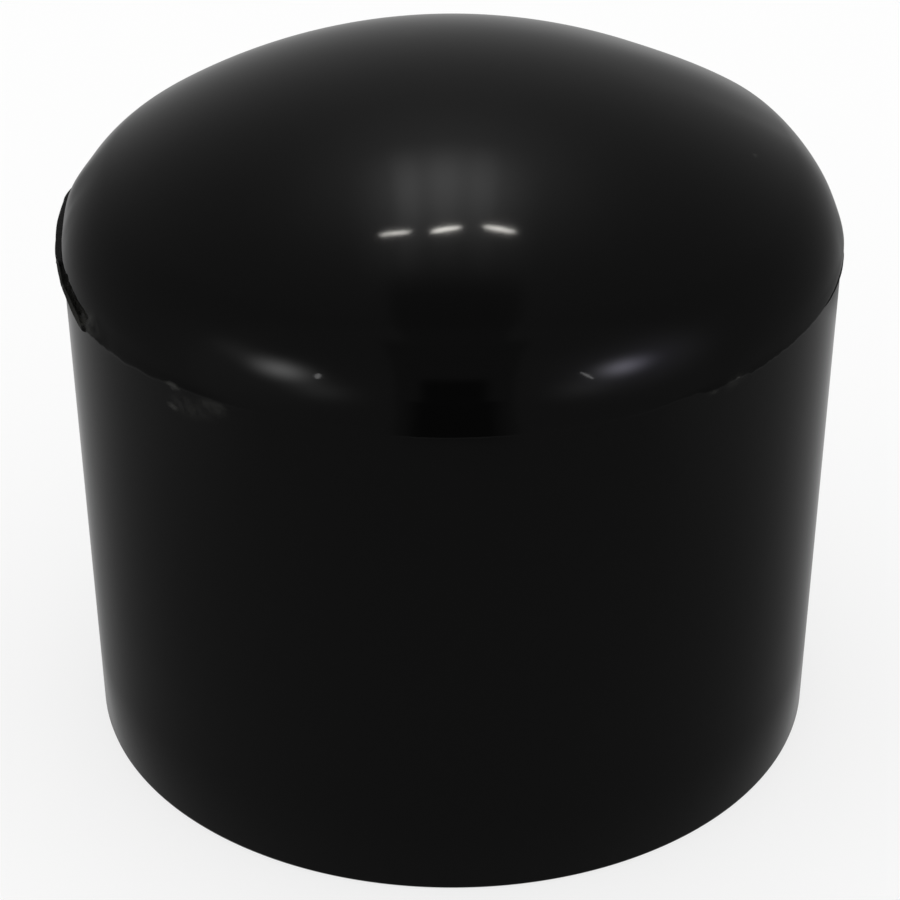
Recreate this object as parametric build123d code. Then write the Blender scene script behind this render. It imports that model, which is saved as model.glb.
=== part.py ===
from build123d import *
import os
from math import atan2, cos, degrees, radians, sin, tan

# Domed end cap that pushes over the outside of a round tube. Sizes in millimetres, +Z up.
#
# The cap is one black polyethylene moulding. It stands on its open rim, and the origin is
# the centre of that rim. A drafted skirt carries the bore, and a crown with a rolled
# shoulder closes the top. The crown is cored out from inside, so its wall stays even and
# the tube stops against a flat seat. Where the two halves of the mould met, under the
# shoulder, the crown stands proud of the skirt by a hair, and some flash was never trimmed.

# The tube, and how the cap grips it
tube_diameter = 48.3        # outside diameter of a tube of 1 1/2 inch nominal bore
grip = 0.3                  # how much smaller the bore is than the tube, on the diameter
bore_depth = 33.0           # from the open rim to the seat that stops the tube
lead_in = 0.6               # chamfer that starts the tube into the bore
seat_width = 2.5            # flat ring that the end of the tube meets

# The skirt
skirt_height = 36.5         # from the open rim up to the parting line
rim_wall = 2.4              # wall of the skirt at the open rim
draft_angle = 1.1           # degrees; the skirt is wider at the parting line

# The crown
crown_height = 13.5         # from the parting line to the top
shoulder_radius = 7.6       # rolled edge between the parting line and the dome
crown_wall = 2.8            # wall left over the cored-out hollow
parting_step = 0.1          # how far the crown stands out past the skirt

# The flash, a thin fin that stands out at the parting line on one side
flash_thickness = 0.25
flash_root = 1.0            # how deep the fin runs into the wall, so that it is one with it
# Its torn edge: degrees round from +X, and the reach past the crown there
flash_edge = [(146, -0.3), (157, 1.7), (168, 1.3), (180, 0.6), (193, 0.3),
              (206, 0.45), (218, 0.65), (225, 0.4), (231, -0.1)]

# Sizes that follow from those above
bore_radius = (tube_diameter - grip) / 2
rim_radius = bore_radius + rim_wall
parting_radius = rim_radius + skirt_height * tan(radians(draft_angle))
edge_radius = parting_radius + parting_step
hollow_radius = bore_radius - seat_width
total_height = skirt_height + crown_height

# The dome is the sphere that reaches the top and runs on smoothly from the shoulder
shoulder_centre = edge_radius - shoulder_radius
dome_radius = ((shoulder_centre ** 2 + crown_height ** 2 - shoulder_radius ** 2)
               / (2 * (crown_height - shoulder_radius)))
dome_centre = total_height - dome_radius
shoulder_angle = degrees(atan2(skirt_height - dome_centre, shoulder_centre))

FROM_BELOW = (Align.CENTER, Align.CENTER, Align.MIN)


def skirt():
    """The drafted outside of the skirt, still solid."""
    return Cone(rim_radius, parting_radius, skirt_height, align=FROM_BELOW)


def crown():
    """The outside of the crown: half its section, turned round the axis."""
    underside = Line((0, skirt_height), (edge_radius, skirt_height))
    shoulder = JernArc(underside @ 1, (0, 1), shoulder_radius, shoulder_angle)
    dome = TangentArc(shoulder @ 1, (0, total_height), tangent=shoulder % 1)
    axis = Line(dome @ 1, underside @ 0)
    section = make_face(underside + shoulder + dome + axis)
    return revolve(Plane.XZ * section, Axis.Z)


def polar(angle, radius):
    """A point round the cap's axis, at an angle in degrees from +X."""
    return radius * cos(radians(angle)), radius * sin(radians(angle))


def flash():
    """The thin fin of flash at the parting line, wider round the back of one side."""
    torn_edge = Spline(*[polar(angle, edge_radius + reach) for angle, reach in flash_edge])
    first, last = flash_edge[0][0], flash_edge[-1][0]
    root = CenterArc((0, 0), edge_radius - flash_root, first, last - first)
    fin = make_face(torn_edge + root + Line(torn_edge @ 0, root @ 0) + Line(torn_edge @ 1, root @ 1))
    return Pos(0, 0, skirt_height) * extrude(fin, flash_thickness)


def bore():
    """The straight bore for the tube, with its lead-in at the rim."""
    plug = Cylinder(bore_radius, bore_depth, align=FROM_BELOW)
    mouth = Cone(bore_radius + lead_in, bore_radius, lead_in, align=FROM_BELOW)
    return plug + mouth


def hollow():
    """The space cored out of the crown above the seat, under an even wall."""
    core = Pos(0, 0, bore_depth) * Cylinder(hollow_radius, total_height - bore_depth, align=FROM_BELOW)
    # The sphere lies on its side, so that the seam and poles of its surface are cut away
    ceiling = Pos(0, 0, dome_centre) * Rot(0, 90, 0) * Sphere(dome_radius - crown_wall)
    return core & ceiling


def end_cap():
    return skirt() + crown() + flash() - bore() - hollow()


def save(shape, node):
    shape.label = node
    export_step(shape, f"parts/{node}.step")


os.makedirs("parts", exist_ok=True)
save(end_cap(), "end_cap")
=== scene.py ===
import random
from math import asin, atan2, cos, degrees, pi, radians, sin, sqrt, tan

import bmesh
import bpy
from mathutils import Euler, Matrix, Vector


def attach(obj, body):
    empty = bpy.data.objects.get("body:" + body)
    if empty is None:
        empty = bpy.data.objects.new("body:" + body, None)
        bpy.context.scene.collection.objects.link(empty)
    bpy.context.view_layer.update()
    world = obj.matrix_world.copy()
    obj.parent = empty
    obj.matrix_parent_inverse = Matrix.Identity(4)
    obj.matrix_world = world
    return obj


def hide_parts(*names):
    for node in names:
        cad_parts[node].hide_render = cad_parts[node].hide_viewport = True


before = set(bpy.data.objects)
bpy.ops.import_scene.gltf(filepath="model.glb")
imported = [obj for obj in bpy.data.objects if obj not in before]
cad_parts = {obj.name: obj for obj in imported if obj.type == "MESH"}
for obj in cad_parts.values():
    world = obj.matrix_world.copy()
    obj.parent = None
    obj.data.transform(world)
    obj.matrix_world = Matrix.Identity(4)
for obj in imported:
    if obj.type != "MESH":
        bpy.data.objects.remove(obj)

# %% [markdown]
# # A black end cap for a round tube
# The cap is one polyethylene moulding that pushes over the end of a 48 mm tube. This file
# gives it its looks: a finely divided shape, the plastic, and the light. The frame that was
# just loaded holds the engineer's solid, in metres, standing on the origin.

scene = bpy.context.scene
scene.view_settings.view_transform = "Standard"
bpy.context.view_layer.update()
MM = 0.001

# %% [markdown]
# # The camera
# A close camera makes the near rim look wide and the sides lean inwards, which is how a
# small part looks on a table. It stands 215 mm away and 31 degrees up. The lens is long,
# because the picture is only as wide as the cap.

# %% Place the camera
CAMERA_PLACE = Vector((-0.166, -184.8, 129.7)) * MM
CAMERA_TARGET = Vector((-0.166, 0.0, 19.40)) * MM
CAMERA_ROLL = radians(-0.1)
LENS, SENSOR = 117.85, 36.0    # focal length and width of the sensor, in mm
NEAREST, FARTHEST = 0.01, 20.0    # between which the camera sees, in metres

camera_data = bpy.data.cameras.new("camera")
camera_data.sensor_width = SENSOR
camera_data.lens = LENS
camera_data.clip_start = NEAREST
camera_data.clip_end = FARTHEST
camera = bpy.data.objects.new("camera", camera_data)
scene.collection.objects.link(camera)
camera.location = CAMERA_PLACE
looking = (CAMERA_TARGET - CAMERA_PLACE).to_track_quat("-Z", "Y").to_matrix()
camera.rotation_euler = (looking @ Euler((0, 0, CAMERA_ROLL)).to_matrix()).to_euler()
scene.camera = camera
print("camera is", round((CAMERA_PLACE - CAMERA_TARGET).length / MM), "mm from the cap")

# %% [markdown]
# # Sizes of the cap
# These are the sizes that the engineer drew, in millimetres. The dome is the part of a
# sphere that runs on smoothly from the rolled shoulder, so its radius follows from them.

# %% Sizes in millimetres
BORE_RADIUS = 24.0
BORE_DEPTH = 33.0
LEAD_IN = 0.6
HOLLOW_RADIUS = 21.5
RIM_RADIUS = 26.4
SKIRT_HEIGHT = 36.5
DRAFT = radians(1.1)
PARTING_RADIUS = RIM_RADIUS + SKIRT_HEIGHT * tan(DRAFT)
PARTING_STEP = 0.1    # how far the crown stands out past the skirt
EDGE_RADIUS = PARTING_RADIUS + PARTING_STEP
CROWN_HEIGHT = 13.5
TOP = SKIRT_HEIGHT + CROWN_HEIGHT
SHOULDER_RADIUS = 7.6
CROWN_WALL = 2.8

shoulder_centre = EDGE_RADIUS - SHOULDER_RADIUS
dome_radius = (shoulder_centre ** 2 + CROWN_HEIGHT ** 2 - SHOULDER_RADIUS ** 2) / (
    2 * (CROWN_HEIGHT - SHOULDER_RADIUS))
dome_centre = TOP - dome_radius
shoulder_angle = atan2(SKIRT_HEIGHT - dome_centre, shoulder_centre)
ceiling_radius = dome_radius - CROWN_WALL
hollow_top = dome_centre + sqrt(ceiling_radius ** 2 - HOLLOW_RADIUS ** 2)
print("dome radius", round(dome_radius, 2), "mm, shoulder turns", round(degrees(shoulder_angle), 1))

# %% [markdown]
# # The moulding
# A turned shape is easiest to make as the mould maker makes it: draw half of the section,
# then spin it round the axis. We start from a plane, merge it to one point at the outer
# edge of the rim, and extrude that point round the section. The two curves of the crown are
# spins of the same point. Then the whole section is spun once round the axis.

# %% Helpers for edit mode and for modifiers
CLOSE = 0.01    # points that are closer than this to a place, in mm, are at that place


def start_edit(name):
    """Opens the new primitive in edit mode under its name, with all of it selected."""
    piece = bpy.context.object
    piece.name = piece.data.name = name
    bpy.ops.object.mode_set(mode="EDIT")
    bpy.ops.mesh.select_all(action="SELECT")
    return piece


def pick(kind, test):
    """Selects the VERT or FACE parts whose middle, in mm, passes the test."""
    bpy.ops.mesh.select_mode(type=kind)
    bpy.ops.mesh.select_all(action="DESELECT")
    mesh = bmesh.from_edit_mesh(bpy.context.object.data)
    for part in mesh.verts if kind == "VERT" else mesh.faces:
        ends = [part] if kind == "VERT" else part.verts
        middle = sum((end.co for end in ends), Vector()) / len(ends) / MM
        part.select_set(bool(test(middle)))
    mesh.select_flush_mode()
    bmesh.update_edit_mesh(bpy.context.object.data)


def round_axis(point):
    """How far a point in mm is from the cap's axis, and its angle in degrees from +X."""
    return sqrt(point.x ** 2 + point.y ** 2), degrees(atan2(point.y, point.x)) % 360


def draw_to(start, end):
    """Extrudes the selected point from start to end, both (radius, height) in mm."""
    step = ((end[0] - start[0]) * MM, 0, (end[1] - start[1]) * MM)
    bpy.ops.mesh.extrude_region_move(TRANSFORM_OT_translate={"value": step})
    return end


def draw_arc(centre, angle, steps):
    """Spins the selected point round a centre (radius, height) in mm, towards +Z."""
    bpy.ops.mesh.spin(steps=steps, angle=angle, center=(centre[0] * MM, 0, centre[1] * MM),
                      axis=(0, 1, 0))


def modify(piece, kind, **settings):
    """Gives the active piece a modifier of this kind with these settings, and applies it."""
    modifier = piece.modifiers.new(kind.lower(), kind)
    for name, value in settings.items():
        setattr(modifier, name, value)
    bpy.ops.object.modifier_apply(modifier=modifier.name)


# %% Draw the outside of the section
SKIRT_ROWS = (6, 12, 18, 24, 30, 33, 35, 36, 36.35, SKIRT_HEIGHT)    # heights in mm
FOOT_ANGLE = radians(9)    # the foot of the crown gets finer steps, for its groove and tears
FOOT_STEPS, SHOULDER_STEPS, DOME_STEPS = 9, 31, 36

bpy.ops.object.select_all(action="DESELECT")
bpy.ops.mesh.primitive_plane_add(size=MM, location=(RIM_RADIUS * MM, 0, 0))
moulding = start_edit("cap_moulding")
bpy.ops.object.mode_set(mode="OBJECT")
bpy.ops.object.transform_apply(location=True)
bpy.ops.object.mode_set(mode="EDIT")
bpy.ops.mesh.merge(type="CENTER")
corner = (RIM_RADIUS, 0)
for height in SKIRT_ROWS:
    corner = draw_to(corner, (RIM_RADIUS + height * tan(DRAFT), height))
draw_to(corner, (EDGE_RADIUS, SKIRT_HEIGHT))
draw_arc((shoulder_centre, SKIRT_HEIGHT), FOOT_ANGLE, FOOT_STEPS)
draw_arc((shoulder_centre, SKIRT_HEIGHT), shoulder_angle - FOOT_ANGLE, SHOULDER_STEPS)
draw_arc((0, dome_centre), pi / 2 - shoulder_angle, DOME_STEPS)
print("points in the outside:", len(bmesh.from_edit_mesh(moulding.data).verts))

# %% [markdown]
# The inside follows from the same first point: the flat rim, the lead-in that starts the
# tube, the bore, the seat that stops it, and the hollow under the crown. No moulded corner
# is really sharp, so the corners of the section are then bevelled by a few hundredths to a
# few tenths of a millimetre, and catch a thin line of light.

# %% Draw the inside of the section and soften its corners
BORE_ROWS = (LEAD_IN, 11, 22, BORE_DEPTH)    # heights in mm
CEILING_STEPS = 18
CORNERS = (    # radius and height of a corner of the section, and how far it is cut back, in mm
    (RIM_RADIUS, 0, 0.25), (BORE_RADIUS + LEAD_IN, 0, 0.1), (BORE_RADIUS, BORE_DEPTH, 0.3),
    (HOLLOW_RADIUS, BORE_DEPTH, 0.3), (HOLLOW_RADIUS, hollow_top, 1.2),
    (EDGE_RADIUS, SKIRT_HEIGHT, 0.06))

pick("VERT", lambda p: p.z < CLOSE)
corner = draw_to((RIM_RADIUS, 0), (BORE_RADIUS + LEAD_IN, 0))
for height in BORE_ROWS:
    corner = draw_to(corner, (BORE_RADIUS, height))
corner = draw_to(corner, (HOLLOW_RADIUS, BORE_DEPTH))
draw_to(corner, (HOLLOW_RADIUS, hollow_top))
ceiling_angle = pi / 2 - asin((hollow_top - dome_centre) / ceiling_radius)
draw_arc((0, dome_centre), ceiling_angle, CEILING_STEPS)

for radius, height, size in CORNERS:
    pick("VERT", lambda p: abs(p.x - radius) < CLOSE and abs(p.z - height) < CLOSE)
    bpy.ops.mesh.bevel(offset=size * MM, segments=3, affect="VERTICES")

# %% Turn the section round the axis
STEPS_ROUND = 720
SEAM_WIDTH = 0.002 * MM    # where the turn meets itself, points closer than this become one

bpy.ops.object.mode_set(mode="OBJECT")
modify(moulding, "SCREW", steps=STEPS_ROUND, render_steps=STEPS_ROUND, use_merge_vertices=True,
       merge_threshold=SEAM_WIDTH)
bpy.ops.object.mode_set(mode="EDIT")
bpy.ops.mesh.select_all(action="SELECT")
bpy.ops.mesh.remove_doubles(threshold=SEAM_WIDTH)
bpy.ops.mesh.normals_make_consistent(inside=False)
bpy.ops.object.mode_set(mode="OBJECT")
print("moulding:", len(moulding.data.polygons), "faces")

# %% [markdown]
# # Small faults of the shape
# A moulding is never as true as its drawing. This one has warped a little, its parting line
# wanders, and flash tore away beside the line. A Displace modifier can do all of that: a
# vertex group says where it works, and how strongly. So we weigh the points of the moulding
# by their place, and push them.

# %% Helpers to weigh points and push them
OUTSIDE_FROM = BORE_RADIUS + 2    # points further from the axis than this are on the outside
AT_LINE = 0.1    # points that are closer than this to the parting line, in mm, belong to it


def between(table, x, smooth=True):
    """Reads a table of (place, value) rows at x: a smooth or a straight step from row to row."""
    for (start, low), (end, high) in zip(table, table[1:]):
        if start <= x <= end:
            part = (x - start) / (end - start)
            return low + (high - low) * (part * part * (3 - 2 * part) if smooth else part)
    return 0.0


def push(piece, weigh, strength, axis):
    """Pushes the points of a piece along an axis, by a strength in mm times their weight."""
    group = piece.vertex_groups.new(name="push")
    for vertex in piece.data.vertices:
        weight = weigh(vertex.co / MM)
        if weight > 0:
            group.add([vertex.index], min(weight, 1.0), "REPLACE")
    modify(piece, "DISPLACE", vertex_group=group.name, direction=axis, strength=strength * MM,
           mid_level=0)
    piece.vertex_groups.clear()


def falling(distance, reach, smooth=False):
    """A weight of 1 at a distance of 0, which falls to 0 at the reach."""
    weight = max(0.0, 1 - abs(distance) / reach)
    return weight * weight * (3 - 2 * weight) if smooth else weight


def is_outside(point):
    """Whether a point in mm is on the outside of the skirt or of the crown."""
    from_centre = (point - Vector((0, 0, dome_centre))).length
    return round_axis(point)[0] > OUTSIDE_FROM or from_centre > dome_radius - CROWN_WALL / 2


# %% [markdown]
# The cap cooled unevenly, so the crown is not quite round: it stands proud by a quarter of a
# millimetre over its right shoulder, and by less above the foot on both sides. Those are
# smooth swellings along the surface's own normal, two of them side by side on the left.

# %% Swell the crown
SWELLINGS = (    # middle in degrees round and mm over the line, how far each way, and height in mm
    (29, 6.4, 21, 6.0, 0.27), (176.5, 3.0, 8, 3.2, 0.22), (184, 2.4, 6, 2.8, 0.05),
    (356.5, 1.4, 7, 2.2, 0.11))


def swollen(point):
    """How far a point in mm stands proud of a perfectly round cap."""
    angle, over_line = round_axis(point)[1], point.z - SKIRT_HEIGHT
    if not is_outside(point) or over_line < -AT_LINE:
        return 0.0
    return sum(size * falling((angle - middle + 180) % 360 - 180, width, True)
               * falling(over_line - height, rise, True)
               for middle, height, width, rise, size in SWELLINGS)


push(moulding, swollen, 1, "NORMAL")
print("the crown stands proud by up to", max(size for *_, size in SWELLINGS), "mm")

# %% [markdown]
# The two halves of a mould never close to a perfect line. Round this cap the line wanders up
# and down by a few tenths of a millimetre, and its edge is nicked where the plastic tore as
# the mould opened. That is one push up, and one down.

# %% Let the parting line wander and tear
LINE_HEIGHT = (    # degrees round from +X, and how far up the line has moved there, in mm
    (0, 0.2), (60, 0.0), (196, 0.0), (205, -0.12), (209, -0.30), (212, -0.50), (214, -0.56),
    (216, -0.47), (217.6, -0.55), (219.5, -0.42), (222, -0.28), (223.6, -0.43), (225, -0.27),
    (227, -0.18), (230.5, -0.08), (236, 0.0), (250, 0.0), (268, -0.10), (280, -0.05),
    (296, 0.06), (303, 0.28), (308.6, 0.04), (310.7, 0.11), (312.5, 0.18), (315.8, 0.0),
    (317.2, 0.02), (319, 0.11), (320.4, 0.09), (323, 0.18), (328, 0.29), (333, 0.37),
    (338, 0.50), (345, 0.56), (352, 0.48), (360, 0.2))
LINE_REACH = 1.4    # how far above and below the line the points still move with it, in mm
TEAR_SIZE = (    # how deep the tears in its edge are, in mm
    (0, 0.03), (200, 0.03), (212, 0.06), (226, 0.05), (236, 0.02), (296, 0.02), (304, 0.09),
    (320, 0.09), (328, 0.05), (344, 0.03), (360, 0.03))
random.seed(11)
tears = [random.uniform(-1, 1) for step in range(STEPS_ROUND)]


def line_height(angle):
    """How far up the parting line has moved at an angle in degrees, in mm."""
    tear = tears[round(angle * STEPS_ROUND / 360) % STEPS_ROUND]
    return between(LINE_HEIGHT, angle) + between(TEAR_SIZE, angle) * tear


def risen(point):
    """How much a point in mm moves with the parting line, which is up where it is positive."""
    radius, angle = round_axis(point)
    if radius < OUTSIDE_FROM:
        return 0.0
    return falling(point.z - SKIRT_HEIGHT, LINE_REACH) * line_height(angle)


push(moulding, risen, 1, "Z")
push(moulding, lambda p: -risen(p), -1, "Z")
heights = [height for angle, height in LINE_HEIGHT]
print("the parting line wanders from", min(heights), "to", max(heights), "mm")

# %% [markdown]
# On the left a strip of flash tore away. It left a groove in the foot of the crown, a few
# tenths of a millimetre deep, and a small lip under the end of the groove. On the right a
# stub of flash stands out by a few hundredths. All three are pushes away from the axis or
# towards it, so each is a push along X and another along Y.

# %% Bite a groove in the foot of the crown, with a lip under its end, and leave the stub
GROOVE = (    # degrees round from +X, and the depth of the groove there in mm
    (187.2, 0.0), (189, 0.38), (191.5, 0.34), (193.6, 0.28), (195, 0.74), (196.8, 0.80),
    (198.4, 0.52), (202.5, 0.30), (205.5, 0.20), (208.5, 0.0))
GROOVE_REACH = (    # and how far it reaches up and down from its middle, in mm
    (187, 0.52), (193.6, 0.52), (196, 0.62), (199, 0.52), (203, 0.42), (208.5, 0.34))
GROOVE_MIDDLE = 0.8    # how far over the line its middle is, as a share of that reach
LIP = (    # and how far the lip under the groove stands out there, in mm
    (203, 0.0), (204.5, 0.22), (206, 0.36), (207.2, 0.34), (209.5, 0.22), (212, 0.05), (214, 0.0))
LIP_REACH = (    # and how far up it reaches, in mm
    (203, 0.45), (206, 0.5), (210, 1.4), (214, 1.4))
STUB = (    # and how far the stub of flash on the right stands out there, in mm
    (335, 0.0), (338, 0.05), (346, 0.06), (352, 0.04), (357, 0.0))
STUB_REACH = 0.06    # how far above and below the line the stub reaches, in mm
CROWN_FROM = PARTING_RADIUS + 0.02    # at the line, points further out than this are the crown's


def pushed_out(point):
    """How far a point in mm moves away from the axis, at the foot of the crown."""
    radius, angle = round_axis(point)
    over_line = point.z - SKIRT_HEIGHT
    if radius < OUTSIDE_FROM or (radius < CROWN_FROM and over_line < AT_LINE):
        return 0.0
    groove = lip = 0.0
    reach = between(GROOVE_REACH, angle)
    if reach:
        groove = between(GROOVE, angle, False) * falling(over_line - GROOVE_MIDDLE * reach, reach)
    reach = between(LIP_REACH, angle)
    if reach:
        lip = between(LIP, angle, False) * falling(max(over_line, 0), reach, True)
    is_stub = radius > CROWN_FROM and abs(over_line - line_height(angle)) < STUB_REACH
    return lip - groove + (between(STUB, angle) if is_stub else 0.0)


for axis, part in (("X", cos), ("Y", sin)):
    for way in (1, -1):
        push(moulding, lambda p: way * part(radians(round_axis(p)[1])) * pushed_out(p), way, axis)
print("the groove is up to", max(depth for angle, depth in GROOVE), "mm deep")

# %% Shade the moulding smooth and hand it to the frame
bpy.ops.object.shade_smooth_by_angle(angle=radians(35))
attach(moulding, "root")
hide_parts("end_cap")

# %% [markdown]
# # The flash
# On one side a thin fin of plastic squeezed out between the mould halves and was never
# trimmed. It is about a fifth of a millimetre thick and torn, and it stands out furthest at
# the back. Near its front end it has curled up beside the groove. We draw five lines round
# the cap, from the root to the torn edge, and bridge them into a sheet, which Solidify then
# gives its thickness.

# %% Where the fin runs
FIN_EDGE = (    # degrees round from +X, and how far the torn edge stands out past the crown
    (160.8, 1.58), (161.8, 1.62), (163.4, 1.63), (164.8, 1.60), (166.2, 1.51), (167.6, 1.34),
    (169.6, 1.18), (171.5, 1.04), (174, 0.90), (177, 0.71), (180, 0.54), (183, 0.47), (185, 0.42),
    (187, 0.34), (189, 0.25), (193, 0.24), (195, 0.26), (197, 0.30), (199, 0.28), (201, 0.30),
    (203, 0.34), (204.5, 0.38), (206, 0.45), (207.4, 0.46), (208, 0.2), (208.4, -0.2))
FIN_ROOT = (    # and the same for its root, which has come away from the wall at the back
    (160.8, 1.56), (161.8, 1.55), (162.6, 1.50), (164.2, 1.38), (165.4, 1.28), (166.8, 1.13),
    (168.7, 0.92), (170.7, 0.71), (172.6, 0.57), (174.6, 0.42), (180, 0.12), (184, -0.15),
    (188, -0.9), (208.4, -0.9))
CURL = (    # and how much of its curl it has there
    (186, 0.0), (189, 0.8), (193, 0.9), (194.8, 0.35), (196.5, 1.0), (201, 0.8), (204.5, 0.45),
    (206.5, 0.1), (208.4, 0.0))
FIN_BODY = (    # and how thick it is there, in mm
    (160.8, 0.08), (172, 0.18), (196, 0.18), (200, 0.24), (204, 0.30), (208.4, 0.30))
FIN_ROWS = (    # share of the way from root to edge, lift in mm where it curls, and droop where not
    (0.0, 0.0, 0.0), (0.64, -0.10, -0.02), (0.82, -0.04, -0.04), (0.91, 0.18, -0.06),
    (1.0, 0.40, -0.10))
FIN_THICKNESS = 0.18    # over most of its length, in mm
FIN_FROM, FIN_TO, STATIONS = 160.8, 208.4, 101    # degrees round, and points in a row
DROOP_ENDS = 30    # degrees from its tip to where it no longer droops
FIN_ROUNDING = 0.07    # of its edges, in mm

# %% Draw the rows of the fin
bpy.ops.object.select_all(action="DESELECT")
bpy.ops.mesh.primitive_plane_add(size=MM)
fin = start_edit("parting_flash")
bpy.ops.mesh.delete(type="VERT")
for share, lift, droop in FIN_ROWS:
    last = None
    for station in range(STATIONS):
        angle = FIN_FROM + (FIN_TO - FIN_FROM) * station / (STATIONS - 1)
        root, tip = between(FIN_ROOT, angle, False), between(FIN_EDGE, angle, False)
        radius = EDGE_RADIUS + root + (tip - root) * share
        curl = between(CURL, angle)
        height = SKIRT_HEIGHT + FIN_THICKNESS / 2 + between(LINE_HEIGHT, angle)
        height += curl * lift + (1 - curl) * droop * falling(angle - FIN_FROM, DROOP_ENDS)
        place = Vector((radius * cos(radians(angle)), radius * sin(radians(angle)), height)) * MM
        if last is None:
            bpy.ops.mesh.primitive_plane_add(size=MM, location=place)
            bpy.ops.mesh.merge(type="CENTER")
        else:
            bpy.ops.mesh.extrude_region_move(TRANSFORM_OT_translate={"value": place - last})
        last = place
bpy.ops.mesh.select_all(action="SELECT")
bpy.ops.mesh.bridge_edge_loops()
bpy.ops.mesh.normals_make_consistent(inside=False)
bpy.ops.object.mode_set(mode="OBJECT")
print("fin:", len(fin.data.polygons), "faces")

# %% [markdown]
# Solidify makes the sheet one millimetre thick times the weight of each point, so the
# weights are its thickness, which thins out to the tip. Where the fin is that thin, Bevel
# leaves faces that are next to nothing, and a merge of the nearest points closes them.

# %% Give the fin its thickness and its rounded edges
full = fin.vertex_groups.new(name="full")
for vertex in fin.data.vertices:
    angle = max(round_axis(vertex.co / MM)[1], FIN_FROM)    # the tip may be a hair outside the table
    full.add([vertex.index], between(FIN_BODY, angle), "REPLACE")
modify(fin, "SOLIDIFY", thickness=1 * MM, offset=0, vertex_group=full.name)
fin.vertex_groups.clear()
modify(fin, "BEVEL", width=FIN_ROUNDING * MM, segments=3, limit_method="ANGLE",
       angle_limit=radians(50))
bpy.ops.object.mode_set(mode="EDIT")
bpy.ops.mesh.select_all(action="SELECT")
bpy.ops.mesh.remove_doubles(threshold=0.005 * MM)
bpy.ops.object.mode_set(mode="OBJECT")
bpy.ops.object.shade_smooth_by_angle(angle=radians(40))
print("fin:", len(fin.data.polygons), "faces")
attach(fin, "root")

# %% [markdown]
# # The plastic
# Low-density polyethylene, coloured right through with carbon black and moulded against a
# polished tool. It has hardly any colour of its own, so what the eye sees is the gloss. We
# need four finishes of it: the polished outside, the duller inside that a turned core left,
# the torn flash, and the bruised plastic round the groove, whose paler colour is partly
# painted light. All four are patterns in Object coordinates, in metres, so the scale of a
# pattern is one over its real size.

# %% Helpers for materials
def linear(hex_colour):
    """Turns an sRGB hex colour into the linear numbers that shaders use."""
    parts = [int(hex_colour[i:i + 2], 16) / 255 for i in (1, 3, 5)]
    return [x / 12.92 if x <= 0.04045 else ((x + 0.055) / 1.055) ** 2.4 for x in parts] + [1]


def add(tree, kind, settings=None, links=None):
    """Adds a node: settings are its own or its sockets' values, links feed its sockets."""
    node = tree.nodes.new("ShaderNode" + kind)
    for name, value in (settings or {}).items():
        if isinstance(name, int) or name in node.inputs:
            node.inputs[name].default_value = value
        else:
            setattr(node, name, value)
    for name, source in (links or {}).items():
        tree.links.new(source.outputs[0] if hasattr(source, "outputs") else source, node.inputs[name])
    return node


def new_material(name):
    """An empty node material: its node tree, its output node and its place on the object."""
    material = bpy.data.materials.new(name)
    material.use_nodes = True
    tree = material.node_tree
    tree.nodes.clear()
    place = add(tree, "TexCoord").outputs["Object"]
    return material, tree, tree.nodes.new("ShaderNodeOutputMaterial"), place


def polyethylene(tree, output, dark, light, share, rough, bump, settings=None):
    """The surface: a share of the way from a dark to a light colour, its roughness and relief."""
    colour = add(tree, "Mix", {"data_type": "RGBA", 6: linear(dark), 7: linear(light)}, {0: share})
    shader = add(tree, "BsdfPrincipled", {"IOR": 1.5} | (settings or {}),
                 {"Base Color": colour.outputs[2], "Roughness": rough, "Normal": bump})
    tree.links.new(shader.outputs["BSDF"], output.inputs["Surface"])


def paint_faces(piece, material, test):
    """Gives one more material to the faces of a piece whose middle, in mm, passes the test."""
    piece.data.materials.append(material)
    slot = len(piece.data.materials) - 1
    bpy.ops.object.select_all(action="DESELECT")
    bpy.context.view_layer.objects.active = piece
    bpy.ops.object.mode_set(mode="EDIT")
    pick("FACE", test)
    piece.active_material_index = slot
    bpy.ops.object.material_slot_assign()
    bpy.ops.object.mode_set(mode="OBJECT")
    count = sum(face.material_index == slot for face in piece.data.polygons)
    print(piece.name, "has", count, "faces of", material.name)


# %% [markdown]
# The outside. A polished tool leaves long flow waves, a few hundredths of a millimetre high
# over some 9 mm, and a much finer orange peel, which are two Bump nodes. The skirt has faint
# draw lines, because it slid along the tool as it came out. A few scuffs and pale crumbs sit
# near the parting line, where the caps rub against each other in the box, and one pale speck
# high on the crown is a painted glint.

# %% Moulded polyethylene: the waves, the peel and the draw lines
plastic, tree, output, place = new_material("moulded_black_polyethylene")
waves = add(tree, "TexNoise", {"Scale": 1 / (9 * MM), "Detail": 1.0}, {"Vector": place})
bump = add(tree, "Bump", {"Strength": 1.0, "Distance": 0.03 * MM}, {"Height": waves})
peel = add(tree, "TexNoise", {"Scale": 1 / (1.1 * MM), "Detail": 2.0}, {"Vector": place})
bump = add(tree, "Bump", {"Strength": 1.0, "Distance": 0.0012 * MM}, {"Height": peel, "Normal": bump})
drawn = add(tree, "VectorMath", {"operation": "MULTIPLY", 1: (1, 1, 0.02)}, {0: place})
lines = add(tree, "TexNoise", {"Scale": 1 / (0.7 * MM), "Detail": 2.0}, {"Vector": drawn})
height = add(tree, "SeparateXYZ", {}, {0: place}).outputs["Z"]
on_skirt = add(tree, "MapRange", {"From Min": SKIRT_HEIGHT * MM, "From Max": (SKIRT_HEIGHT - 0.5) * MM},
               {"Value": height})
lines = add(tree, "Math", {"operation": "MULTIPLY"}, {0: lines, 1: on_skirt})
bump = add(tree, "Bump", {"Strength": 1.0, "Distance": 0.0008 * MM}, {"Height": lines, "Normal": bump})
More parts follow.
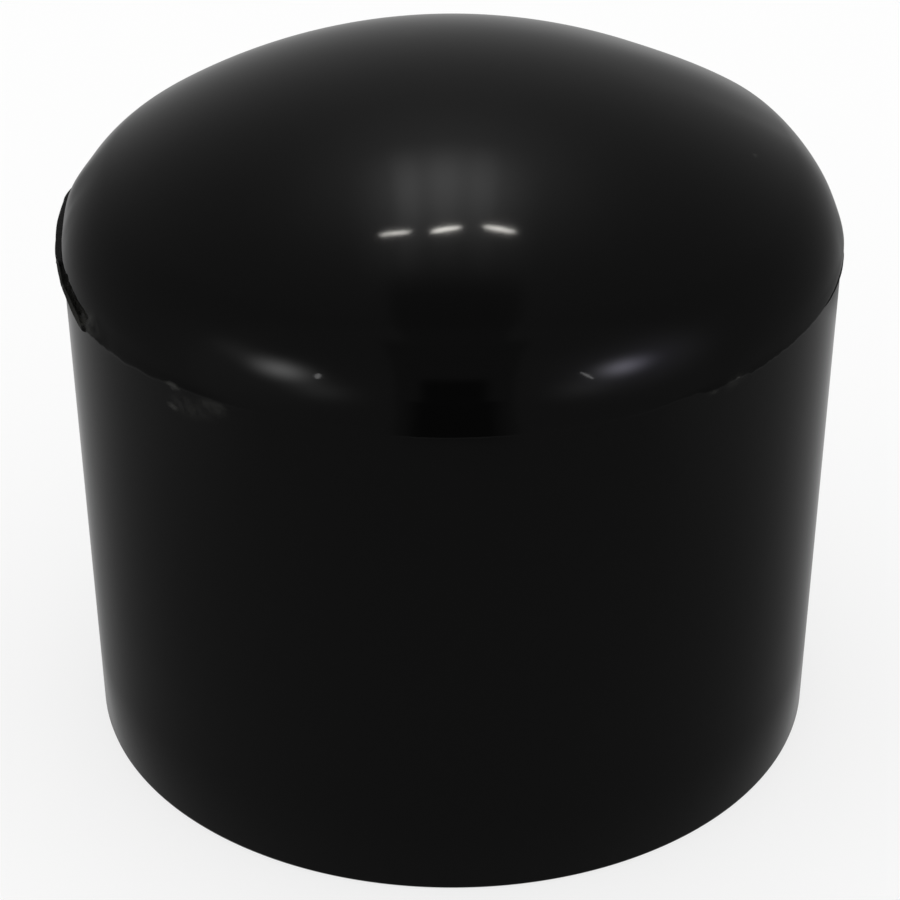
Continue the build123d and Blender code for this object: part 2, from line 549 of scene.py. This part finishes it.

# %% Moulded polyethylene: scuffs, crumbs and painted glints
SCUFFS = (    # place in mm, how far it spreads in mm, and how worn it is at most
    ((-15.3, -22.3, 35.9), 0.8, 0.6), ((-17.0, -21.05, 35.2), 1.1, 0.4),
    ((-16.15, -21.73, 35.3), 0.9, 0.3), ((-24.2, -12.8, 36.8), 1.2, 1.0),
    ((18.3, -20.1, 36.6), 0.8, 0.3), ((-3.0, 6.6, 49.4), 0.7, 0.3))
# Most of these are pale crumbs. The one high on the right of the crown is a painted glint, where a nick
# would catch the light.
CRUMBS_AND_GLINTS = (    # place in mm, its size in mm, and how worn it is
    ((-17.9, -20.3, 36.4), 0.42, 1.0), ((-18.06, -20.16, 34.77), 0.36, 0.75),
    ((-15.24, -22.4, 36.15), 0.40, 0.4), ((-14.93, -22.61, 36.22), 0.36, 0.4),
    ((-14.67, -22.78, 36.15), 0.30, 0.3), ((18.4, -20.03, 36.77), 0.13, 1.0),
    ((16.71, -21.33, 36.38), 0.24, 0.4), ((20.51, -3.44, 44.65), 0.22, 0.6))
RAGGED = 0.3    # how far the noise moves the edge of a mark to and fro, in mm
FLAT = (0.5, 0.5, 1.0)    # marks are twice as wide as they are high
CORE = 0.1    # the share of its size within which a mark is full
mottle = add(tree, "TexNoise", {"Scale": 1 / (0.5 * MM), "Detail": 2.0}, {"Vector": place})
wobble = add(tree, "VectorMath", {"operation": "SCALE", "Scale": RAGGED * MM},
             {0: mottle.outputs["Color"]})
ragged = add(tree, "VectorMath", {"operation": "ADD", 1: (-RAGGED / 2 * MM,) * 3}, {0: wobble})
flat = add(tree, "VectorMath", {"operation": "MULTIPLY", 1: FLAT}, {0: place})
ragged = add(tree, "VectorMath", {"operation": "ADD"}, {0: flat, 1: ragged})


def marks(spots):
    """A mask with its level in the core of each spot, and soft from there to the spot's size."""
    together = None
    for spot, size, level in spots:
        middle = Vector(spot) * Vector(FLAT) * MM
        away = add(tree, "VectorMath", {"operation": "DISTANCE", 1: middle}, {0: ragged})
        mark = add(tree, "MapRange", {"interpolation_type": "SMOOTHSTEP", "To Max": level,
                   "From Min": size * MM, "From Max": size * CORE * MM}, {"Value": away.outputs["Value"]})
        if together:
            mark = add(tree, "Math", {"operation": "MAXIMUM"}, {0: mark, 1: together})
        together = mark
    return together


grain = add(tree, "MapRange", {"From Min": 0.25, "From Max": 0.75}, {"Value": mottle.outputs[0]})
scuffed = add(tree, "Math", {"operation": "MULTIPLY"}, {0: marks(SCUFFS), 1: grain})
# The pale marks: scuffs and crumbs, and the painted glint among the crumbs.
wear_and_glints = add(tree, "Math", {"operation": "MAXIMUM"}, {0: scuffed, 1: marks(CRUMBS_AND_GLINTS)})

# %% Moulded polyethylene: the gloss
patches = add(tree, "TexNoise", {"Scale": 1 / (14 * MM), "Detail": 2.0}, {"Vector": place})
gloss = add(tree, "MapRange", {"From Min": 0.3, "From Max": 0.7, "To Min": 0.045, "To Max": 0.075},
            {"Value": patches})
rough = add(tree, "Math", {"operation": "MULTIPLY_ADD", 1: 0.4}, {0: wear_and_glints, 2: gloss})
# 2e2e2c is the pale colour of the scuffs and crumbs, and of the painted glint.
polyethylene(tree, output, "#050505", "#2e2e2c", wear_and_glints, rough, bump)
moulding.data.materials.append(plastic)
print(plastic.name, "has", len(tree.nodes), "nodes")

# %% [markdown]
# The inside. The core was turned on a lathe and not polished, so the bore, the seat and the
# hollow are satin, with fine rings round the axis. The rings are about 0.1 mm apart on such
# a tool. They are drawn at 0.4 mm here, as finer ones would not show. Along the section the
# sum of radius and height always changes, so one noise of that sum makes rings everywhere.

# %% Cored polyethylene
satin, tree, output, place = new_material("cored_black_polyethylene")
parts = add(tree, "SeparateXYZ", {}, {0: place})
flat = add(tree, "CombineXYZ", {}, {0: parts.outputs["X"], 1: parts.outputs["Y"]})
radius = add(tree, "VectorMath", {"operation": "LENGTH"}, {0: flat}).outputs["Value"]
along = add(tree, "Math", {"operation": "ADD"}, {0: radius, 1: parts.outputs["Z"]})
rings = add(tree, "TexNoise", {"noise_dimensions": "1D", "Scale": 1 / (0.4 * MM), "Detail": 2.0},
            {"W": along})
bump = add(tree, "Bump", {"Strength": 1.0, "Distance": 0.006 * MM}, {"Height": rings})
clouds = add(tree, "TexNoise", {"Scale": 1 / (6 * MM), "Detail": 3.0}, {"Vector": place})
rough = add(tree, "MapRange", {"From Min": 0.3, "From Max": 0.7, "To Min": 0.27, "To Max": 0.4},
            {"Value": clouds})
polyethylene(tree, output, "#070707", "#0d0d0d", clouds, rough, bump)
print(satin.name, "has", len(tree.nodes), "nodes")

# %% The faces that the core made
RIM_ENDS = 0.05    # the rim itself, up to this height in mm, is as polished as the outside
paint_faces(moulding, satin,
            lambda p: p.z > RIM_ENDS and round_axis(p)[0] < BORE_RADIUS + LEAD_IN and not is_outside(p))

# %% [markdown]
# The flash. It tore instead of sliding off polished steel, so it is matt and uneven. Where
# this plastic was bent and bruised it turns a little paler, as on the curled strip and in
# the groove, and is smoother than where it tore. Part of that paler colour is painted light:
# it lifts the groove out of its shade and gives the curled lip the tone of the light that it
# mirrors. One function makes both finishes, and they are then given to the faces that lie
# in those places.

# %% Torn polyethylene, and bruised polyethylene with painted light
def torn_plastic(name, dark, light, relief):
    """Matt, uneven polyethylene between a dark and a light colour, with a relief in mm."""
    material, tree, output, place = new_material(name)
    fibres = add(tree, "TexNoise", {"Scale": 1 / (0.3 * MM), "Detail": 3.0}, {"Vector": place})
    bump = add(tree, "Bump", {"Strength": 1.0, "Distance": relief * MM}, {"Height": fibres})
    rough = add(tree, "MapRange", {"From Min": 0.3, "From Max": 0.7, "To Min": 0.2, "To Max": 0.45},
                {"Value": fibres})
    polyethylene(tree, output, dark, light, fibres, rough, bump, {"Specular IOR Level": 0.2})
    return material


torn = torn_plastic("torn_black_polyethylene", "#060606", "#0c0c0b", 0.01)
# The bruised colour is paler partly from the bruise and partly as painted light. The painted light lifts
# the groove out of its shade and brings the lip to the tone of what it mirrors.
bruise_and_painted_light = torn_plastic("bruised_black_polyethylene_with_painted_light", "#1c1c1a", "#2a2a27", 0.004)
fin.data.materials.append(torn)

# %% The faces that are bruised, with painted light, and torn
# Where the plastic is bruised it also gets painted light.
BRUISE_AND_LIGHT_FROM, BRUISE_AND_LIGHT_TO = 188.5, 207    # degrees round from +X
BRUISE_AND_LIGHT_REACH = 1    # how far above and below the line, in mm
BRUISE_AND_LIGHT_DEPTH = 0.06    # pushed in or out by more than this, in mm, the plastic is bruised
FIN_SHOWS = 0.03    # and so is what stands out past the crown by more than this
STUB_LEAST = 0.02    # where the stub stands out by less than this, in mm, nothing is torn
STUB_LOW, STUB_HIGH = -0.03, 0.09    # where its torn face is, in mm over the displaced line


def is_bruised_with_painted_light(point):
    """Whether a point in mm is on the curled strip, in the groove or on the lip under it."""
    radius, angle = round_axis(point)
    is_near = BRUISE_AND_LIGHT_FROM < angle < BRUISE_AND_LIGHT_TO and abs(point.z - SKIRT_HEIGHT) < BRUISE_AND_LIGHT_REACH
    if not is_near or radius < OUTSIDE_FROM:
        return False
    return abs(pushed_out(point)) > BRUISE_AND_LIGHT_DEPTH or radius > EDGE_RADIUS + FIN_SHOWS


def is_torn(point):
    """Whether a point in mm is on the low stub of flash on the right side."""
    radius, angle = round_axis(point)
    over_line = point.z - SKIRT_HEIGHT - line_height(angle)
    is_near = between(STUB, angle) > STUB_LEAST and radius > CROWN_FROM
    return is_near and STUB_LOW < over_line < STUB_HIGH


# The bruised faces get that paler colour, which is partly painted light.
paint_faces(moulding, bruise_and_painted_light, is_bruised_with_painted_light)
paint_faces(moulding, torn, is_torn)
paint_faces(fin, bruise_and_painted_light, is_bruised_with_painted_light)

# %% [markdown]
# # The room
# A near white floor and an even sky light everything at the level at which a colour looks
# as it is written. The floor is paper that fades to plain white where the camera sees it,
# but keeps some of the shadow round the cap. Black gloss shows little of that light: it
# shows the room, as a mirror does. So the cap stands in a shell of grey card that only
# mirror rays meet. Card round a glossy product is the usual way to light it.

# %% Floor and sky
world = bpy.data.worlds.new("studio")
scene.world = world
world.use_nodes = True
sky = world.node_tree.nodes["Background"]
sky.inputs["Color"].default_value = linear("#ffffff")
sky.inputs["Strength"].default_value = 1.0

FLOOR_SIZE = 6    # metres
WHITE_SHARE = 0.7    # of the plain white in what the camera sees of the floor
bpy.ops.object.select_all(action="DESELECT")
bpy.ops.mesh.primitive_plane_add(size=FLOOR_SIZE)
floor = bpy.context.object
floor.name = "floor"
floor.visible_glossy = False
paper, tree, output, place = new_material("white_paper")
lit = add(tree, "BsdfDiffuse", {"Color": linear("#f9f9f9")})
blank = add(tree, "Emission", {"Color": linear("#ffffff"), "Strength": 1.0})
ray = add(tree, "LightPath").outputs["Is Camera Ray"]
seen = add(tree, "Math", {"operation": "MULTIPLY", 1: WHITE_SHARE}, {0: ray})
both = add(tree, "MixShader", {}, {"Fac": seen, 1: lit, 2: blank})
tree.links.new(both.outputs[0], output.inputs["Surface"])
floor.data.materials.append(paper)
print("the floor is", FLOOR_SIZE, "m wide")


# %% A helper for directions
def direction(azimuth, elevation):
    """The direction of a place seen from the cap: degrees round from behind it, and up."""
    turn, rise = radians(azimuth), radians(elevation)
    return Vector((sin(turn) * cos(rise), cos(turn) * cos(rise), sin(rise)))


# %% [markdown]
# The shell is a sphere of card that glows by itself. Each soft glow on it is a Gaussian: it
# falls off with the angle between the place that is looked at and the middle of the glow.

# %% The grey card shell and its soft glows
SHELL_RADIUS = 6    # metres
CARD_LEVEL = 0.092
GLOWS = (    # degrees round from behind the cap, degrees up, spread in degrees, strength
    (0, -24, 24, 0.30), (0, 30, 22, 0.06), (-1, 63.1, 11.3, 0.31), (-131, 16.6, 5.0, 1.7),
    (131, 18.8, 4.4, 2.1), (-122, 7, 18, 0.05), (126, 18, 11.5, 0.24), (-143, 7, 6, 0.20),
    (143, 9, 6, 0.14), (-116, 20, 5, 0.09), (14, -7, 6, 0.13), (-20, -16, 4.5, 0.11))
BLUISH_GLOW = 126    # degrees round; the card is a little bluer under this one
bpy.ops.object.select_all(action="DESELECT")
bpy.ops.mesh.primitive_uv_sphere_add(segments=64, ring_count=32, radius=SHELL_RADIUS)
shell = bpy.context.object
shell.name = "grey_card_shell"
shell.visible_camera = shell.visible_diffuse = shell.visible_shadow = False
card, tree, output, place = new_material("grey_card")
facing = add(tree, "VectorMath", {"operation": "NORMALIZE"}, {0: place})
brightness, lobes = None, {}    # the first glow is added to the level of the card itself
for azimuth, elevation, width, strength in GLOWS:
    sharpness = 1 / radians(width) ** 2
    near = add(tree, "VectorMath", {"operation": "DOT_PRODUCT", 1: direction(azimuth, elevation)},
               {0: facing})
    fall = add(tree, "Math", {"operation": "MULTIPLY_ADD", 1: sharpness, 2: -sharpness},
               {0: near.outputs["Value"]})
    lobes[azimuth] = glow = add(tree, "Math", {"operation": "EXPONENT"}, {0: fall})
    brightness = add(tree, "Math", {"operation": "MULTIPLY_ADD", 1: strength, 2: CARD_LEVEL},
                     {0: glow} | ({2: brightness} if brightness else {}))

# %% [markdown]
# The room is not even. A window with three panes lights the card over the cap. A dark stand
# rises behind the camera and bends over the cap, somebody stands in front of it, and the card
# meets the table in a lighter line under a dimmer band. Each is a mask on the card: soft
# bounds on the direction's X, Y and Z, multiplied with each other. A bound on the side holds
# both ways from the middle of X.

# %% The window and the shades on the card
across = add(tree, "SeparateXYZ", {}, {0: facing}).outputs
off_centre = add(tree, "Math", {"operation": "SUBTRACT", 1: 0.01}, {0: across["X"]})
side = add(tree, "Math", {"operation": "ABSOLUTE"}, {0: off_centre})
along = {"X": across["X"], "Y": across["Y"], "Z": across["Z"], "side": side}


def within(bounds):
    """A mask on the card from bounds: along which way, where it begins, and where it is full."""
    mask = None
    for way, begins, full in bounds:
        bound = add(tree, "MapRange", {"interpolation_type": "SMOOTHSTEP", "From Min": begins,
                    "From Max": full}, {"Value": along[way]})
        mask = add(tree, "Math", {"operation": "MULTIPLY"}, {0: bound, 1: mask}) if mask else bound
    return mask


WINDOW_HEIGHT = (("Z", 0.776, 1.028), ("Z", 1.015, 0.836), ("Y", 0.0, 0.16))
WINDOW = (    # strength, and bounds across, of the haze round the window and of its panes
    (3.16, ("X", -0.277, 0.135), ("X", 0.243, -0.169)),
    (0.64, ("X", -0.157, -0.120), ("X", -0.067, -0.104)),
    (0.35, ("X", -0.061, -0.024), ("X", 0.029, -0.008)),
    (0.44, ("X", 0.033, 0.070), ("X", 0.123, 0.086)))
for strength, *width in WINDOW:
    brightness = add(tree, "Math", {"operation": "MULTIPLY_ADD", 1: strength},
                     {0: within([*width, *WINDOW_HEIGHT]), 2: brightness})
SHADES = (    # by how much the light is multiplied inside, and bounds
    (0.66, ("side", 0.305, 0.235), ("Y", -0.35, -0.50), ("Z", -0.54, -0.52)),
    (0.66, ("side", 0.215, 0.15), ("Y", -0.50, -0.35), ("Y", 0.12, 0.0), ("Z", 0.5, 0.6)),
    (0.12, ("side", 0.26, 0.13), ("Y", 0.0, -0.1), ("Z", 0.13, 0.08), ("Z", -0.54, -0.52)),
    (0.12, ("side", 0.20, 0.10), ("Y", 0.0, -0.1), ("Z", 0.54, 0.37), ("Z", 0.08, 0.13)),
    (0.85, ("Z", 0.966, 1.0)),
    (1.28, ("Z", -0.58, -0.49), ("Y", -0.5, -0.15)),
    (0.53, ("Z", -0.471, -0.459), ("Y", -0.5, -0.15)),
    (1.38, ("Z", -0.46, -0.30), ("Y", -0.5, -0.15)))
for level, *bounds in SHADES:
    shade = add(tree, "MapRange", {"To Min": 1.0, "To Max": level}, {"Value": within(bounds)})
    brightness = add(tree, "Math", {"operation": "MULTIPLY"}, {0: brightness, 1: shade})
hue = add(tree, "Mix", {"data_type": "RGBA", 6: linear("#ffffff"), 7: linear("#ece9ff")},
          {0: lobes[BLUISH_GLOW]})
light = add(tree, "Emission", {}, {"Color": hue.outputs[2], "Strength": brightness})
tree.links.new(light.outputs[0], output.inputs["Surface"])
card.cycles.emission_sampling = "NONE"
shell.data.materials.append(card)
print("the card has", len(GLOWS), "glows,", len(WINDOW), "window masks and", len(SHADES), "shades")


# %% [markdown]
# Three lamps overhead and a narrow one at each side give the sharp highlights. Each is an
# ellipse, hung where the crown mirrors it into the camera, and its size is the angle that it
# fills in that mirror.

# %% The lamps
LAMP_DISTANCE = 1.0    # metres from the place that mirrors the lamp


def hang_lamp(name, azimuth, elevation, roll, size, radiance, colour, mirrored_at):
    """Hangs a lamp of a size in degrees so that the crown mirrors it at a point, in mm."""
    width, height = (2 * LAMP_DISTANCE * tan(radians(angle / 2)) for angle in size)
    lamp = bpy.data.lights.new(name, "AREA")
    lamp.shape = "ELLIPSE"
    lamp.size, lamp.size_y = width, height
    lamp.energy = radiance * pi * pi * width * height / 4
    lamp.color = linear(colour)[:3]
    hung = bpy.data.objects.new(name, lamp)
    scene.collection.objects.link(hung)
    way = direction(azimuth, elevation)
    hung.location = way * LAMP_DISTANCE + Vector(mirrored_at) * MM
    turned = way.to_track_quat("Z", "Y").to_matrix() @ Euler((0, 0, radians(roll))).to_matrix()
    hung.rotation_euler = turned.to_euler()
    hung.visible_camera = False


OVERHEAD = (    # name, degrees round, up and of roll, and size in degrees
    ("lamp_left", -30.8, 72.7, -33, (4.8, 0.6)), ("lamp_middle", -3.4, 75.1, 8, (5.0, 0.95)),
    ("lamp_right", 25.6, 72.9, 18, (4.9, 0.85)))
AT_THE_SIDES = (
    ("spot_left", -141.5, 18.5, 0, (1.6, 5)), ("spot_right", 141.5, 18.5, 14, (0.9, 9)))
for lamp in OVERHEAD:
    hang_lamp(*lamp, radiance=20, colour="#fffdf6", mirrored_at=(0, -17.5, 46))
for lamp in AT_THE_SIDES:
    hang_lamp(*lamp, radiance=2.2, colour="#ffffff", mirrored_at=(0, -24, 40))
print("lamps:", len(OVERHEAD) + len(AT_THE_SIDES))
